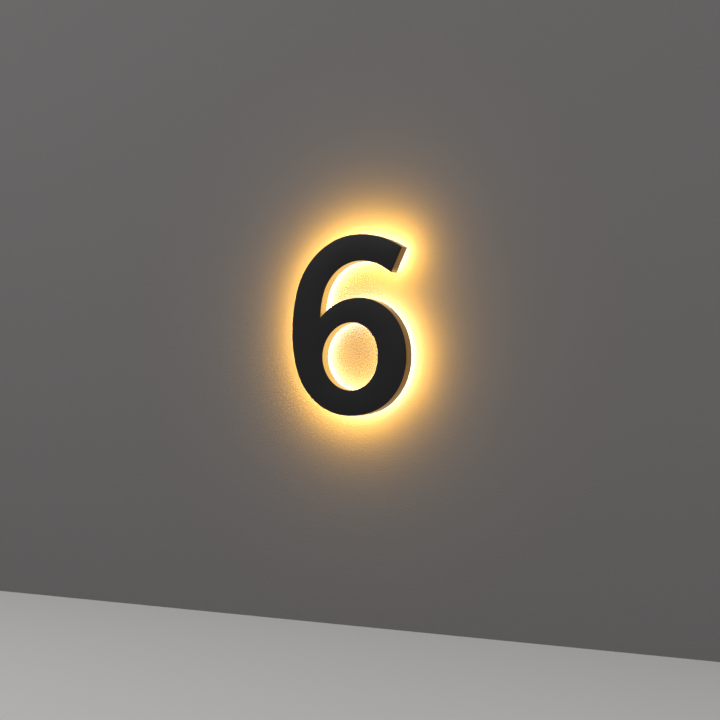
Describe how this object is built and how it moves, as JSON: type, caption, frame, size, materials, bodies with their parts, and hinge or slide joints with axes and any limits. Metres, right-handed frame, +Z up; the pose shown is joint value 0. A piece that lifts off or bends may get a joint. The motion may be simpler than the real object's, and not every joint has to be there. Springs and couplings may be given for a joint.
{
  "type": "illuminated house number sign",
  "caption": "Halo-lit house number: a hollow metal six held off a wall on threaded studs, lit from behind through an opal panel.",
  "frame": {"origin": "centre of the four wall studs on the surface of the wall, which is also the middle of the numeral's height and width", "axes": "+X to the right as a visitor reads the numeral, +Y into the wall along the studs, +Z up"},
  "size_m": [0.2256, 0.075, 0.3],
  "materials": {
    "face_black": "satin black powder coat with a very fine texture",
    "return_bronze": "satin bronze",
    "opal_acrylic": "matt opal, lit from inside",
    "silicone": "translucent silicone",
    "stainless": "bright stainless steel",
    "spacer_nylon": "natural nylon",
    "sleeve_aluminium": "turned aluminium",
    "grommet_rubber": "matt black rubber",
    "terminal_nylon": "pale nylon",
    "terminal_brass": "plain brass",
    "screw_steel": "zinc plated steel",
    "module_white": "moulded white plastic",
    "lens_clear": "clear moulded lens",
    "board_white": "white solder mask",
    "potting_resin": "cloudy resin",
    "chip_phosphor": "warm yellow phosphor",
    "foam_tape": "black foam tape",
    "wire_red": "red insulation",
    "wire_black": "black insulation"
  },
  "bodies": {
    "root": {"adhesive_pads": "foam_tape", "back_panel": "opal_acrylic", "cable_grommet": "grommet_rubber", "counter_bead": "silicone", "counter_return": "return_bronze", "face_plate": "face_black", "link_wires_black": "wire_black", "link_wires_red": "wire_red", "module_boards": "board_white", "module_chips": "chip_phosphor", "module_housing_01": "module_white", "module_housing_02": "module_white", "module_housing_03": "module_white", "module_housing_04": "module_white", "module_housing_05": "module_white", "module_housing_06": "module_white", "module_housing_07": "module_white", "module_housing_08": "module_white", "module_housing_09": "module_white", "module_housing_10": "module_white", "module_housing_11": "module_white", "module_housing_12": "module_white", "module_housing_13": "module_white", "module_housing_14": "module_white", "module_housing_15": "module_white", "module_lenses_01": "lens_clear", "module_lenses_02": "lens_clear", "module_lenses_03": "lens_clear", "module_lenses_04": "lens_clear", "module_lenses_05": "lens_clear", "module_lenses_06": "lens_clear", "module_lenses_07": "lens_clear", "module_lenses_08": "lens_clear", "module_lenses_09": "lens_clear", "module_lenses_10": "lens_clear", "module_lenses_11": "lens_clear", "module_lenses_12": "lens_clear", "module_lenses_13": "lens_clear", "module_lenses_14": "lens_clear", "module_lenses_15": "lens_clear", "module_potting": "potting_resin", "outer_bead": "silicone", "outer_return": "return_bronze", "panel_nuts": "stainless", "panel_spacer_lower_left": "spacer_nylon", "panel_spacer_lower_right": "spacer_nylon", "panel_spacer_upper_left": "spacer_nylon", "panel_spacer_upper_right": "spacer_nylon", "panel_washers": "stainless", "terminal_body": "terminal_nylon", "terminal_cages": "terminal_brass", "terminal_screws": "screw_steel", "wall_sleeve_lower_left": "sleeve_aluminium", "wall_sleeve_lower_right": "sleeve_aluminium", "wall_sleeve_upper_left": "sleeve_aluminium", "wall_sleeve_upper_right": "sleeve_aluminium", "wall_stud_lower_left": "stainless", "wall_stud_lower_right": "stainless", "wall_stud_upper_left": "stainless", "wall_stud_upper_right": "stainless"}
  },
  "joints": []
}
